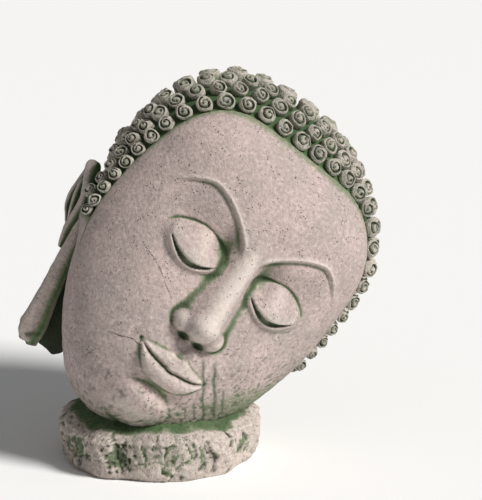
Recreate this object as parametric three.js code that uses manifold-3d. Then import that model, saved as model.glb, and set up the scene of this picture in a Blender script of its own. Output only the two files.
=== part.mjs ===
// A cast-stone Buddha head that leans on one cheek, in one piece with its rough oval base.
// Millimetres, +Z up, the face looks along -Y, origin at the centre of the flat underside.
// The head is worked out in its own upright frame (z from chin to crown, origin on the eye line)
// and is then leaned over and set into the base.
import * as THREE from "three";
import { mergeVertices } from "three/addons/utils/BufferGeometryUtils.js";
import Module from "manifold-3d";

const radians = THREE.MathUtils.degToRad;

// ---------- driving dimensions ----------
const CROWN = 173; // height of the bare crown over the eye line
const CHIN = 203; // depth of the chin under it
const HALF_WIDTH = 141;
const FRONT_DEPTH = 116;
const BACK_DEPTH = 128;
const SECTION_POWER = 0.9; // under 1 makes the level sections squarer than an ellipse
const SCALP_STEP = 3; // the scalp lies this much below the skin of the forehead

const HAIR_TOP = 134; // the hairline at the middle of the forehead
const HAIR_FOOT = -47; // its foot before the ears
const HAIR_TEMPLE = radians(77); // its azimuth there
const NAPE_DROP = 55; // its fall from there to the nape
const FACE_END = radians(81); // the azimuth where the face ends under the hairline

const HEAD_CENTRE = new THREE.Vector3(57, 44, 199.5);
const LEAN_BACK = radians(12);
const LEAN_SIDE = radians(38);
const TURN = radians(16);

const CURL_RADIUS = 9.3;
const CURL_HEIGHT = 14;
const CURL_ROOT = 24; // depth of the point to which a curl narrows, under the scalp
const CURL_PITCH = 21.5;
const FIRST_ROW = 13; // distance of the first row from the hairline
const ROW_PITCH = 24;
const BACK_PITCH = 33; // the plainer back has wider curls
const BACK_ROW_PITCH = 32;
const FRONT_ROWS = 3;

const BASE_HALF_X = 101;
const BASE_HALF_Y = 104;
const BASE_HEIGHT = 50;

const STONE = { color: 0xb8aa9f, roughness: 0.9, metalness: 0 };

// ---------- small functions ----------
const clamp01 = (t) => Math.min(1, Math.max(0, t));

// 0 below a, 1 above b, with a smooth S between.
function ramp(x, a, b) {
  const t = clamp01((x - a) / (b - a));
  return t * t * (3 - 2 * t);
}

// A bell of height 1 and half-breadth 1.
const bell = (x) => Math.exp(-x * x);

// A rounded cap over q = 0, which reaches 0 where q = 1.
const cap = (q, power) => Math.pow(Math.max(0, 1 - q), power);

// The larger of two heights, with a rounded valley where they meet.
const blendMax = (a, b, radius) => 0.5 * (a + b + Math.hypot(a - b, radius));

// Straight lines between [place, value] stations.
function along(stations, x) {
  if (x <= stations[0][0]) return stations[0][1];
  for (let i = 1; i < stations.length; i++) {
    const [x1, y1] = stations[i];
    const [x0, y0] = stations[i - 1];
    if (x <= x1) return y0 + ((y1 - y0) * (x - x0)) / (x1 - x0);
  }
  return stations[stations.length - 1][1];
}

// ---------- the bare skull ----------
function eggProfile(z, size, upper, lower) {
  const u = Math.abs(z) / (z >= 0 ? CROWN : CHIN);
  const [squareness, fullness] = z >= 0 ? upper : lower;
  return size * Math.pow(Math.max(0, 1 - Math.pow(u, squareness)), fullness);
}

const halfWidth = (z) => eggProfile(z, HALF_WIDTH, [3.3, 0.5], [1.95, 0.52]);
const frontDepth = (z) => eggProfile(z, FRONT_DEPTH, [4, 0.5], [5.2, 0.5]);
const backDepth = (z) => eggProfile(z, BACK_DEPTH, [2.5, 0.5], [2.4, 0.75]);

// The jaw comes forward under the skull. The crown lies back, and leans a little to one side.
const shiftBack = (z) => 22 * ramp(z, 80, CROWN) - 18 * ramp(-z, 40, CHIN);
const shiftAside = (z) => -10 * ramp(z, 40, CROWN);

// The jaw is narrower beside the lobe, which hangs clear of it.
const LOBE_GAP = 12;
const LOBE_SIDE = radians(100);
const LOBE_SPREAD = radians(17);

function lobeHollow(azimuth, z) {
  const side = bell((Math.abs(azimuth) - LOBE_SIDE) / LOBE_SPREAD);
  return LOBE_GAP * side * ramp(-z, 40, 85) * (1 - ramp(-z, 160, 195));
}

// A point of the skull at an azimuth (0 in front, positive to the right) and a height.
function skullPoint(azimuth, z) {
  const s = Math.sin(azimuth);
  const c = Math.cos(azimuth);
  const depth = c > 0 ? -frontDepth(z) : backDepth(z);
  const breadth = halfWidth(z) * Math.pow(Math.abs(s), SECTION_POWER) - lobeHollow(azimuth, z);
  return new THREE.Vector3(
    Math.sign(s) * breadth + shiftAside(z),
    depth * Math.pow(Math.abs(c), SECTION_POWER) + shiftBack(z),
    z,
  );
}

// Under 1 inside the skull and over 1 outside it.
function skullMeasure(p) {
  if (p.z >= CROWN || p.z <= -CHIN) return 2;
  const x = p.x - shiftAside(p.z);
  const y = p.y - shiftBack(p.z);
  const depth = y < 0 ? frontDepth(p.z) : backDepth(p.z);
  const power = 2 / SECTION_POWER;
  return Math.pow(Math.abs(x) / halfWidth(p.z), power) + Math.pow(Math.abs(y) / depth, power);
}

// The hairline runs level over the forehead, turns down at the temples and ends before the ears;
// behind them it falls to the nape.
function hairline(azimuth) {
  const share = Math.abs(azimuth) / HAIR_TEMPLE;
  const nape = NAPE_DROP * ramp(share, 1.15, Math.PI / HAIR_TEMPLE);
  return HAIR_FOOT - nape + (HAIR_TOP - HAIR_FOOT) * cap(share ** 5, 0.625);
}

// The azimuth of the hairline at a height; under its foot the face runs on to below the ears.
function faceEdge(z) {
  if (z < HAIR_FOOT) return FACE_END;
  return HAIR_TEMPLE * cap(Math.max(0, (z - HAIR_FOOT) / (HAIR_TOP - HAIR_FOOT)) ** 1.6, 0.2);
}

// ---------- the face, as a height over the skull ----------
const NOSE_HEIGHT = [[-83, 0], [-80, 3], [-76, 15], [-70, 27], [-62, 33], [-52, 32], [0, 15.5], [50, 0]];
const NOSE_BREADTH = [[-84, 27], [-60, 31], [-30, 26], [0, 23], [20, 23], [50, 40]];

function nose(s, z) {
  const ridge = along(NOSE_HEIGHT, z) * cap((s / along(NOSE_BREADTH, z)) ** 2, 1.6);
  const tip = 36 * cap((s / 20) ** 2 + ((z + 60) / 18) ** 2, 0.55);
  const wing = 19 * cap(((s - 17.5) / 13) ** 2 + ((z + 66) / 12.5) ** 2, 0.6);
  return Math.max(0, blendMax(blendMax(ridge, tip, 4), wing, 5) - 2.8);
}

// The brow is a fine edge that rises from the root of the nose and falls to the temple.
function brow(s, z) {
  const line = 20 + 42 * Math.sin(Math.PI * clamp01((s - 8) / 150)) ** 0.7 - 24 * ramp(s, 66, 122);
  const e = z - line;
  const shelf = 2.6 * ramp(e, -3, 1) * Math.exp(-Math.max(0, e) / 26);
  return ramp(s, 8, 18) * (1 - ramp(s, 98, 118)) * (2 * bell(e / 3) + shelf);
}

// A lowered lid over a long eyeball, a narrow slit and the lower lid's rim.
function eye(s, z) {
  const ball = ((s - 51) / 34) ** 2 + ((z + 4) / 23) ** 2;
  const lid = -8 - 11 * Math.sin(Math.PI * clamp01((s - 22) / 58)) ** 0.9 + 3 * clamp01((s - 22) / 58);
  const gap = 5.4 * Math.sin(Math.PI * clamp01((s - 24) / 54)) ** 0.8;
  const inside = ramp(s, 20, 27) * (1 - ramp(s, 76, 83));
  const upper = 2.8 * ramp(z, lid - 0.6, lid + 0.6) * bell((z - lid) / 15);
  const slit = 3 * ramp(lid - z, -0.4, 0.8) * (1 - ramp(lid - z, gap - 0.8, gap + 0.8));
  const lower = 2.6 * ramp(lid - gap - z, -0.3, 1) * bell((lid - gap - z) / 6);
  return 12.5 * cap(ball, 0.62) + inside * (upper - slit + lower);
}

function socket(s, z) {
  return 14 * bell((s - 27) / 14) * bell((z - 8) / 20) + 6.5 * bell((s - 62) / 28) * bell((z - 16) / 20);
}

// Two rolled lips that part at one line, with pits at the corners.
function mouth(s, z) {
  const t = clamp01(s / 40);
  const line = -114.5 - 1.5 * bell(s / 7) + 8.5 * t ** 2.6;
  const top = -101.5 + 2.4 * bell((s - 8) / 6) - 4.6 * t ** 2.4;
  const bottom = -131.5 + 25 * t ** 3;
  const up = (z - line) / Math.max(1, top - line);
  const down = (line - z) / Math.max(1, line - bottom);
  const upper = up > 0 ? cap(((up - 0.42) / 0.66) ** 2, 0.5) : 0;
  const lower = down > 0 ? cap(((down - 0.46) / 0.6) ** 2, 0.5) : 0;
  const parting = 3.5 * (1 - ramp(s, 39, 44)) * bell((z - line) / 1.8);
  const corner = 4.5 * bell((s - 43) / 5) * bell((z + 106) / 7);
  return (1 - ramp(s, 36, 41)) * (6 * upper + 7.5 * lower) - parting - corner;
}

function cheeksAndChin(s, z) {
  const cheek = 7 * bell((s - 62) / 34) * bell((z + 60) / 36);
  const muzzle = 9 * bell(s / 46) * bell((z + 113) / 34);
  const philtrum = 2.4 * bell(s / 4.5) * ramp(z, -102, -97) * (1 - ramp(z, -86, -80));
  const underLip = 4.5 * bell(s / 30) * bell((z + 140) / 7);
  const chin = 11 * cap((s / 34) ** 2 + ((z + 163) / 26) ** 2, 0.9);
  return cheek + muzzle + chin - philtrum - underLip;
}

function faceHeight(x, z) {
  const s = Math.abs(x);
  return cheeksAndChin(s, z) + brow(s, z) + eye(s, z) + nose(s, z) + mouth(s, z) - socket(s, z);
}

// A point of the face or forehead.
function facePoint(azimuth, z) {
  const p = skullPoint(azimuth, z);
  p.y -= faceHeight(p.x, z) * ramp(Math.cos(azimuth), 0.05, 0.35);
  return p;
}

// ---------- closed surfaces ----------
const wasm = await Module();
wasm.setup();

// Rings of points between two end points, joined into one closed surface.
// Each ring runs anticlockwise seen from the last end.
function ringGeometry(first, rings, last) {
  const n = rings[0].length;
  const points = [first, ...rings.flat(), last];
  const index = [];
  for (let j = 0; j < n; j++) {
    const k = (j + 1) % n;
    const top = 1 + (rings.length - 1) * n;
    index.push(0, 1 + k, 1 + j);
    index.push(points.length - 1, top + j, top + k);
    for (let i = 0; i + 1 < rings.length; i++) {
      const a = 1 + i * n;
      const b = a + n;
      index.push(a + j, a + k, b + k, a + j, b + k, b + j);
    }
  }
  return new THREE.BufferGeometry().setFromPoints(points).setIndex(index);
}

function solidFrom(geometry) {
  const bare = geometry.clone();
  bare.deleteAttribute("normal");
  bare.deleteAttribute("uv");
  const merged = mergeVertices(bare, 1e-3);
  return new wasm.Manifold(
    new wasm.Mesh({
      numProp: 3,
      vertProperties: new Float32Array(merged.attributes.position.array),
      triVerts: new Uint32Array(merged.index.array),
    }),
  );
}

function geometryFrom(solid) {
  const mesh = solid.getMesh();
  const geometry = new THREE.BufferGeometry();
  geometry.setAttribute("position", new THREE.BufferAttribute(mesh.vertProperties, 3));
  geometry.setIndex(new THREE.BufferAttribute(mesh.triVerts, 1));
  return geometry;
}

// ---------- head ----------
const SKULL_LEVELS = [-200, -186, -158, -115, -60, 0, 55, 102, 140, 163];
const SKULL_SIDES = 14;
const UNDER_FACE = 4; // the skull lies this far under the face where the two overlap

// The skull behind the face: bare skin under the ears, and a scalp a step lower than the forehead.
function skullSolid() {
  const rings = SKULL_LEVELS.map((z) =>
    Array.from({ length: SKULL_SIDES }, (_, i) => {
      const azimuth = (i / SKULL_SIDES) * 2 * Math.PI - Math.PI;
      const p = skullPoint(azimuth, z);
      const scalp = SCALP_STEP * ramp(z, hairline(azimuth) - 12, hairline(azimuth));
      const behindFace = UNDER_FACE * ramp(Math.cos(azimuth), 0, 0.3) * ramp(-z, -60, 20);
      const inwards = p.clone().setZ(p.z * 0.8).normalize();
      return p.addScaledVector(inwards, -scalp - behindFace);
    }),
  );
  const chin = new THREE.Vector3(0, shiftBack(-CHIN), 1 - CHIN);
  const crown = new THREE.Vector3(shiftAside(CROWN), shiftBack(CROWN), CROWN - SCALP_STEP);
  return solidFrom(ringGeometry(chin, rings, crown));
}

// Levels and breadths lie closer where the face has more relief.
const LEVEL_BANDS = [
  [-200, -152, 4],
  [-143, -137, 2],
  [-132, -132, 1],
  [-125, -118, 2],
  [-115.5, -113.5, 2],
  [-110, -102, 3],
  [-96, -84, 3],
  [-79.5, -62, 4],
  [-52, -34, 2],
  [-26, -21, 2],
  [-18.5, -18.5, 1],
  [-14.5, -13.5, 2],
  [-7, 14, 4],
  [20, 62, 6],
  [78, 131, 4],
];
const FACE_BREADTHS = [0, 8, 17, 27, 38, 50, 62, 74, 88, 104, 122];
const FACE_ROOT = new THREE.Vector3(0, -8, -20); // inside the skull

// The rows bend with the lips and with the edge of the lid, so that their edges stay crisp.
function bentLevel(x, z) {
  const s = Math.abs(x);
  const t = clamp01(s / 40);
  const lips = [
    [-152, 0],
    [-131.5, 25 * t ** 3],
    [-114.5, 8.5 * t ** 2.6],
    [-101.5, -4.6 * t ** 2.4],
    [-84, 0],
  ];
  const lid = 6 - 11 * Math.sin(Math.PI * clamp01((s - 22) / 58)) ** 0.9 + 3 * clamp01((s - 22) / 58);
  const lids = [
    [-52, 0],
    [-20, lid],
    [-8, lid],
    [20, 0],
  ];
  return z + along(lips, z) + along(lids, z);
}

// The face is a shell of levels between its two edges, closed to a point inside the skull.
function faceSolid() {
  const levels = LEVEL_BANDS.flatMap(([from, to, count]) =>
    Array.from({ length: count }, (_, i) => from + ((to - from) * i) / Math.max(1, count - 1)),
  );
  const shares = FACE_BREADTHS.map((x) => Math.asin(Math.pow(x / HALF_WIDTH, 1 / SECTION_POWER)));
  const across = [...shares.slice(1).map((s) => -s).reverse(), ...shares];
  const columns = across.length;
  const widest = shares[shares.length - 1];
  const points = levels.flatMap((z) =>
    across.map((s) => {
      const azimuth = (s / widest) * faceEdge(z);
      return facePoint(azimuth, bentLevel(skullPoint(azimuth, z).x, z));
    }),
  );
  const topPoint = points.push(facePoint(0, HAIR_TOP)) - 1;
  const inner = points.push(FACE_ROOT) - 1;
  const index = [];
  const last = (levels.length - 1) * columns;
  for (let i = 0; i + 1 < levels.length; i++) {
    const a = i * columns;
    const b = a + columns;
    for (let j = 0; j + 1 < columns; j++) {
      index.push(a + j, a + j + 1, b + j + 1, a + j, b + j + 1, b + j);
    }
    index.push(inner, a, b);
    index.push(inner, b + columns - 1, a + columns - 1);
  }
  for (let j = 0; j + 1 < columns; j++) {
    index.push(inner, j + 1, j);
    index.push(last + j, last + j + 1, topPoint);
  }
  index.push(inner, last, topPoint);
  index.push(inner, topPoint, last + columns - 1);
  return solidFrom(new THREE.BufferGeometry().setFromPoints(points).setIndex(index));
}

// ---------- snail curls ----------
const HAIR_CENTRE = new THREE.Vector3(0, 5, 20);
const WHORL = radians(30); // the pole of the rows, above the horizontal at the back

// The unit vector at an angle from the whorl and an angle round it (0 over the forehead).
function hairDirection(fromWhorl, round) {
  const pole = new THREE.Vector3(0, Math.cos(WHORL), Math.sin(WHORL));
  const up = new THREE.Vector3(0, -Math.sin(WHORL), Math.cos(WHORL));
  const right = new THREE.Vector3(1, 0, 0);
  return pole
    .multiplyScalar(Math.cos(fromWhorl))
    .addScaledVector(up, Math.sin(fromWhorl) * Math.cos(round))
    .addScaledVector(right, Math.sin(fromWhorl) * Math.sin(round));
}

// Where a ray from the middle of the hair leaves the skull.
function skullAlong(direction) {
  let near = 0;
  let far = 260;
  for (let i = 0; i < 40; i++) {
    const mid = 0.5 * (near + far);
    const p = HAIR_CENTRE.clone().addScaledVector(direction, mid);
    if (skullMeasure(p) < 1) near = mid;
    else far = mid;
  }
  return HAIR_CENTRE.clone().addScaledVector(direction, near);
}

function azimuthOf(p) {
  const x = p.x - shiftAside(p.z);
  const y = p.y - shiftBack(p.z);
  const depth = y < 0 ? frontDepth(p.z) : backDepth(p.z);
  const s = Math.sign(x) * Math.pow(Math.abs(x) / halfWidth(p.z), 1 / SECTION_POWER);
  const c = -Math.sign(y) * Math.pow(Math.abs(y) / depth, 1 / SECTION_POWER);
  return Math.atan2(s, c);
}

// The angle from the whorl at which the hair ends.
function hairEdge(round) {
  let inside = 0.3;
  let outside = 2.6;
  for (let i = 0; i < 30; i++) {
    const mid = 0.5 * (inside + outside);
    const p = skullAlong(hairDirection(mid, round));
    if (p.z > hairline(azimuthOf(p))) inside = mid;
    else outside = mid;
  }
  return inside;
}

// Distances of the rows from the hairline, as measured over the forehead.
function rowDistances(total) {
  const rows = [];
  for (let d = FIRST_ROW; d < total - 12; ) {
    rows.push(d);
    d += rows.length < FRONT_ROWS ? ROW_PITCH : BACK_ROW_PITCH;
  }
  return rows;
}

// No curl stands in the space that the ear fills.
const EAR_SPACE = new THREE.Box3(new THREE.Vector3(90, 2, -120), new THREE.Vector3(200, 66, 12));

const hidesBehindEar = (p) => EAR_SPACE.containsPoint(p.clone().setX(Math.abs(p.x)));

// 1 over the forehead and less at the temples, where the curls are smaller and closer set.
const fromFront = (round) => Math.min(round, 2 * Math.PI - round);
const templeShare = (round) => 1 - 0.24 * ramp(fromFront(round), radians(50), radians(95));

// 0 over the face and 1 behind the ears.
const behindTemple = (round) => ramp(fromFront(round), radians(112), radians(140));

function pitchAt(row, round) {
  if (row >= FRONT_ROWS) return BACK_PITCH;
  const front = CURL_PITCH * templeShare(round);
  return front + (BACK_PITCH - front) * behindTemple(round);
}

// How far the curls of the first rows are turned to face the front.
const TILTS = [0.6, 0.45, 0.35, 0.15];

const RING_STEPS = 72;

function curlPlaces() {
  const radius = skullAlong(hairDirection(hairEdge(0), 0)).distanceTo(HAIR_CENTRE);
  const total = radius * hairEdge(0);
  const places = [];
  rowDistances(total).forEach((distance, row) => {
    const onRow = (step) => {
      const round = (step / RING_STEPS) * 2 * Math.PI;
      const share = 1 - (distance * templeShare(round)) / total;
      return skullAlong(hairDirection(hairEdge(round) * share, round));
    };
    // The row's length up to each step, counted in curls.
    const counts = [0];
    for (let i = 1; i <= RING_STEPS; i++) {
      const pitch = pitchAt(row, ((i - 0.5) / RING_STEPS) * 2 * Math.PI);
      counts.push(counts[i - 1] + onRow(i).distanceTo(onRow(i - 1)) / pitch);
    }
    const number = Math.max(5, Math.round(counts[RING_STEPS]));
    for (let n = 0; n < number; n++) {
      const count = ((n + 0.5 * (row % 2)) * counts[RING_STEPS]) / number;
      const i = Math.max(0, counts.findIndex((c) => c > count) - 1);
      const step = i + (count - counts[i]) / (counts[i + 1] - counts[i]);
      const p = onRow(step);
      const round = (step / RING_STEPS) * 2 * Math.PI;
      const size = pitchAt(row, round) / CURL_PITCH;
      const tilt = (TILTS[row] ?? 0) * (1 - behindTemple(round));
      if (!hidesBehindEar(p)) places.push({ p, size, tilt });
    }
  });
  places.push({ p: skullAlong(hairDirection(0, 0)), size: BACK_PITCH / CURL_PITCH, tilt: 0 });
  return places;
}

function skullNormal(p) {
  const h = 0.5;
  const slope = (axis) => {
    const a = p.clone();
    const b = p.clone();
    a[axis] += h;
    b[axis] -= h;
    return skullMeasure(a) - skullMeasure(b);
  };
  return new THREE.Vector3(slope("x"), slope("y"), slope("z")).normalize();
}

const FRONT_CURL_SIDES = 5;
const BACK_CURL_SIDES = 4;
const WIDE_CURL = 1.1; // size from which a curl counts as one of the back
const RIM_SHARE = 0.75; // height of the rim as a share of the curl's height

// A curl is a stud that narrows to a root under the scalp and is domed to a point on top.
function curlSolid({ p, size, tilt }) {
  const normal = skullNormal(p);
  const axis = normal.clone().multiplyScalar(1 - tilt).add(new THREE.Vector3(0, -tilt, 0)).normalize();
  const turn = new THREE.Quaternion().setFromUnitVectors(new THREE.Vector3(0, 0, 1), axis);
  const sides = size > WIDE_CURL ? BACK_CURL_SIDES : FRONT_CURL_SIDES;
  const rim = Array.from({ length: sides }, (_, i) => {
    const a = (i / sides) * 2 * Math.PI;
    const r = CURL_RADIUS * size;
    return new THREE.Vector3(r * Math.cos(a), r * Math.sin(a), CURL_HEIGHT * RIM_SHARE);
  });
  const root = new THREE.Vector3(0, 0, -CURL_ROOT * size);
  const tip = new THREE.Vector3(0, 0, CURL_HEIGHT);
  const geometry = ringGeometry(root, [rim], tip);
  geometry.applyQuaternion(turn);
  geometry.translate(...p.addScaledVector(normal, -SCALP_STEP).toArray());
  return solidFrom(geometry);
}

// ---------- ears ----------
const EAR_CENTRE = new THREE.Vector3(129, 34, -48);
const EAR_SPLAY = radians(30); // its rear stands out
const EAR_SPREAD = radians(10); // and so does its top

// The bands of an ear in its own plane, and the lobe in the head's frame.
// Each station: height, place outwards, place to the rear, half-reach outwards and to the rear.
const EAR_PLATE = [
  [-38, -2, -1, 2, 2],
  [-15, -6, 6, 8, 9],
  [0, -7, 10, 9, 14],
  [18, -7, 12, 9, 13],
  [38, -7, 20, 8, 9],
  [46, -6, 24, 4, 3],
];
const EAR_FRONT_RIM = [
  [-45, 6, -5, 2, 1.5],
  [-27, 5, -0.5, 5.5, 4.5],
  [-8, 4, -2, 7, 5.5],
  [10, 4, -1.5, 7.5, 6],
  [24, 4, 6.5, 7.5, 7],
  [40, 2, 19, 6.5, 8],
  [46, 1, 23, 5, 5],
];
const EAR_INNER_RIDGE = [
  [-27, 2, 1, 2, 1.2],
  [-12, 4, 6.5, 5, 2.6],
  [4, 4, 12, 6.5, 3.2],
  [21, 3, 17.5, 5.5, 3.2],
  [28, 1, 19, 3, 2],
];
const EAR_REAR_RIM = [
  [-32, 1, 1, 2, 1.2],
  [-20, 1, 8, 4.5, 2.4],
  [-8, 1, 19.5, 5.5, 2.8],
  [6, 1, 23.3, 6, 3],
  [28, 0, 23.5, 5.5, 3],
  [38, 0, 24, 4, 2.5],
];
// The long lobe is a strap that hangs beside the jaw and widens to a broken end.
const LOBE_STATIONS = [
  [-187, 99, 8, 8, 8],
  [-180, 100, 8, 14, 12],
  [-167, 102, 7, 14.5, 12],
  [-145, 108, 5, 12, 10],
  [-109, 116.5, 4, 9.5, 9],
  [-77, 123, 4, 8.5, 8],
  [-57, 126, 5, 7.5, 7],
  [-51, 126, 6, 5, 4],
];
// A thin web of stone behind the lobe ties it to the jaw.
const WEB_STATIONS = [
  [-182, 76, 18, 14, 3],
  [-173, 74, 20, 22, 6],
  [-121, 84, 24, 22, 6],
  [-73, 99, 22, 20, 5],
  [-61, 100, 22, 10, 3],
];

// A closed strap along its stations, with oval level sections and flat ends.
function strapGeometry(stations, sides) {
  const rings = stations.map(([z, out, back, halfOut, halfBack]) =>
    Array.from({ length: sides }, (_, i) => {
      const a = (i / sides) * 2 * Math.PI;
      return new THREE.Vector3(out + halfOut * Math.cos(a), back + halfBack * Math.sin(a), z);
    }),
  );
  const middle = ([z, out, back]) => new THREE.Vector3(out, back, z);
  return ringGeometry(middle(stations[0]), rings, middle(stations[stations.length - 1]));
}

// Sets a strap of the ear's own plane in its place.
function inEarPlane(geometry) {
  const outward = new THREE.Vector3(Math.cos(EAR_SPLAY), -Math.sin(EAR_SPLAY), 0);
  const back = new THREE.Vector3(Math.sin(EAR_SPLAY), Math.cos(EAR_SPLAY), 0);
  const up = new THREE.Vector3(0, 0, Math.cos(EAR_SPREAD)).addScaledVector(outward, Math.sin(EAR_SPREAD));
  geometry.applyMatrix4(new THREE.Matrix4().makeBasis(outward, back, up).setPosition(EAR_CENTRE));
  return geometry;
}

const PLATE_SIDES = 6;
const RIM_SIDES = 5;
const RIDGE_SIDES = 4;
const LOBE_SIDES = 7;
const WEB_SIDES = 6;

function earSolids() {
  const straps = [
    inEarPlane(strapGeometry(EAR_PLATE, PLATE_SIDES)),
    inEarPlane(strapGeometry(EAR_FRONT_RIM, RIM_SIDES)),
    inEarPlane(strapGeometry(EAR_INNER_RIDGE, RIDGE_SIDES)),
    inEarPlane(strapGeometry(EAR_REAR_RIM, RIDGE_SIDES)),
    strapGeometry(LOBE_STATIONS, LOBE_SIDES),
    strapGeometry(WEB_STATIONS, WEB_SIDES),
  ];
  return straps.map(solidFrom);
}

// ---------- base ----------
const BASE_SIDES = 24;
// Each ring: share of the outline and share of the height.
const BASE_RINGS = [
  [0.95, 0],
  [1, 0.22],
  [1.01, 0.6],
  [0.97, 0.88],
  [0.7, 1.12],
  [0.4, 1.26],
];
const BASE_TOP = 1.3; // height of its middle, under the jaw

// The rough outline: an oval with broken flats.
function baseOutline(angle) {
  const broad = 2.2 * Math.sin(5 * angle + 0.7) + 1.6 * Math.sin(9 * angle + 2.1);
  const chips = broad + 1.2 * Math.sin(14 * angle);
  return new THREE.Vector2(
    (BASE_HALF_X + chips) * Math.cos(angle),
    (BASE_HALF_Y + chips) * Math.sin(angle),
  );
}

function baseSolid() {
  const rings = BASE_RINGS.map(([share, level], r) =>
    Array.from({ length: BASE_SIDES }, (_, i) => {
      const angle = (i / BASE_SIDES) * 2 * Math.PI;
      const outline = baseOutline(angle);
      const dent = level > 0 && level < 1 ? 1 + 0.012 * Math.sin(7 * angle + 3 * r) : 1;
      const rise = level > 0.5 ? 1 + 0.05 * Math.sin(4 * angle + 1) + 0.02 * Math.sin(11 * angle) : 1;
      return new THREE.Vector3(
        outline.x * share * dent,
        outline.y * share * dent,
        BASE_HEIGHT * level * rise,
      );
    }),
  );
  const under = new THREE.Vector3(0, 0, 0);
  const top = new THREE.Vector3(0, 0, BASE_HEIGHT * BASE_TOP);
  return solidFrom(ringGeometry(under, rings, top));
}

// ---------- one casting ----------
const mirror = (solid) => solid.mirror([1, 0, 0]);

let head = skullSolid().add(faceSolid());
for (const piece of earSolids()) {
  head = head.add(piece).add(mirror(piece));
}
for (const place of curlPlaces()) head = head.add(curlSolid(place));

const headPose = new THREE.Matrix4().makeRotationFromEuler(
  new THREE.Euler(-LEAN_BACK, LEAN_SIDE, TURN, "XYZ"),
);
headPose.setPosition(HEAD_CENTRE);
const leaning = solidFrom(geometryFrom(head).applyMatrix4(headPose));

// What would reach through the flat underside, such as the tip of the lower lobe, is cut off.
const CUT_SIZE = 400;
const CUT_LEVEL = 12; // inside the base, so that the cut doesn't show
const belowCut = new THREE.BoxGeometry(CUT_SIZE, CUT_SIZE, CUT_SIZE);
belowCut.translate(0, 0, CUT_LEVEL - CUT_SIZE / 2);
const casting = leaning.subtract(solidFrom(belowCut)).add(baseSolid());

const stone = new THREE.MeshStandardMaterial(STONE);
const buddhaHead = new THREE.Mesh(geometryFrom(casting), stone);
buddhaHead.name = "buddha_head";

const group = new THREE.Group();
group.add(buddhaHead);

export default group;
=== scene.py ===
import math

import bpy
import numpy as np
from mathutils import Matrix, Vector


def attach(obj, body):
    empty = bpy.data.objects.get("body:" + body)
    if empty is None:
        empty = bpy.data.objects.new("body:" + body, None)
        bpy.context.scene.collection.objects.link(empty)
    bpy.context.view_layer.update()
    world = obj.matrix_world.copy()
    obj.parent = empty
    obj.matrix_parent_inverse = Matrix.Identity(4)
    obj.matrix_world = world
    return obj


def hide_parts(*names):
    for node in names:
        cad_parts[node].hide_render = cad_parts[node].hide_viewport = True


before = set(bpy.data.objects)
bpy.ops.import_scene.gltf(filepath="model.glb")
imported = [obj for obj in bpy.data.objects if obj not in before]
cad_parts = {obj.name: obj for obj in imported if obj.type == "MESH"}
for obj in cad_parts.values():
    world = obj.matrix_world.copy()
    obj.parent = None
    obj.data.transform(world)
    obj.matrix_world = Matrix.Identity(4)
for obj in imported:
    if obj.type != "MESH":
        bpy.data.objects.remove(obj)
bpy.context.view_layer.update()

# ---------------------------------------------------------------- floor, light and camera
# A pale sweep of floor under the casting, soft daylight from the upper right and a long lens
# that looks a little down on it. The light is broad but comes from one side, so the left is in shade.
FLOOR_HALF = 6.0
CAMERA_TARGET = Vector((0.0845, -0.016, 0.2165))
CAMERA_DISTANCE = 2.4
CAMERA_ELEVATION = math.radians(13)
VIEW_HEIGHT = 0.5  # metres of the target plane from the picture's foot to its top
KEY_DIRECTION = Vector((-1.95, 1.25, -1.85))
KEY_BREADTH = math.radians(16)


def set_values(node, values):
    """Sets the unlinked inputs of a node by name."""
    for input_name, value in values.items():
        node.inputs[input_name].default_value = value


floor_corners = [(FLOOR_HALF * x, FLOOR_HALF * y, 0) for x, y in ((-1, -1), (1, -1), (1, 1), (-1, 1))]
floor_mesh = bpy.data.meshes.new("pale_floor")
floor_mesh.from_pydata(floor_corners, [], [(0, 1, 2, 3)])
floor_paint = bpy.data.materials.new("pale_floor")
floor_paint.use_nodes = True
floor_look = {"Base Color": (0.97, 0.97, 0.96, 1), "Roughness": 0.9}
set_values(floor_paint.node_tree.nodes["Principled BSDF"], floor_look)
floor_mesh.materials.append(floor_paint)
floor = bpy.data.objects.new("pale_floor", floor_mesh)
bpy.context.scene.collection.objects.link(floor)

sky = bpy.data.worlds.new("soft_sky")
sky.use_nodes = True
set_values(sky.node_tree.nodes["Background"], {"Color": (0.97, 0.985, 1.0, 1), "Strength": 0.205})
bpy.context.scene.world = sky
bpy.context.scene.view_settings.view_transform = "Standard"

key = bpy.data.lights.new("key_light", "SUN")
key.angle = KEY_BREADTH
key.energy = 3.9
key.color = (1.0, 0.985, 0.965)
key_holder = bpy.data.objects.new("key_light", key)
key_holder.rotation_euler = KEY_DIRECTION.to_track_quat("-Z", "Y").to_euler()
bpy.context.scene.collection.objects.link(key_holder)

lens = bpy.data.cameras.new("long_lens")
lens.angle = 2 * math.atan(0.5 * VIEW_HEIGHT / CAMERA_DISTANCE)
camera = bpy.data.objects.new("long_lens", lens)
camera.location = CAMERA_TARGET + CAMERA_DISTANCE * Vector(
    (0, -math.cos(CAMERA_ELEVATION), math.sin(CAMERA_ELEVATION))
)
camera.rotation_euler = (CAMERA_TARGET - camera.location).to_track_quat("-Z", "Y").to_euler()
bpy.context.scene.collection.objects.link(camera)
bpy.context.scene.camera = camera

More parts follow.
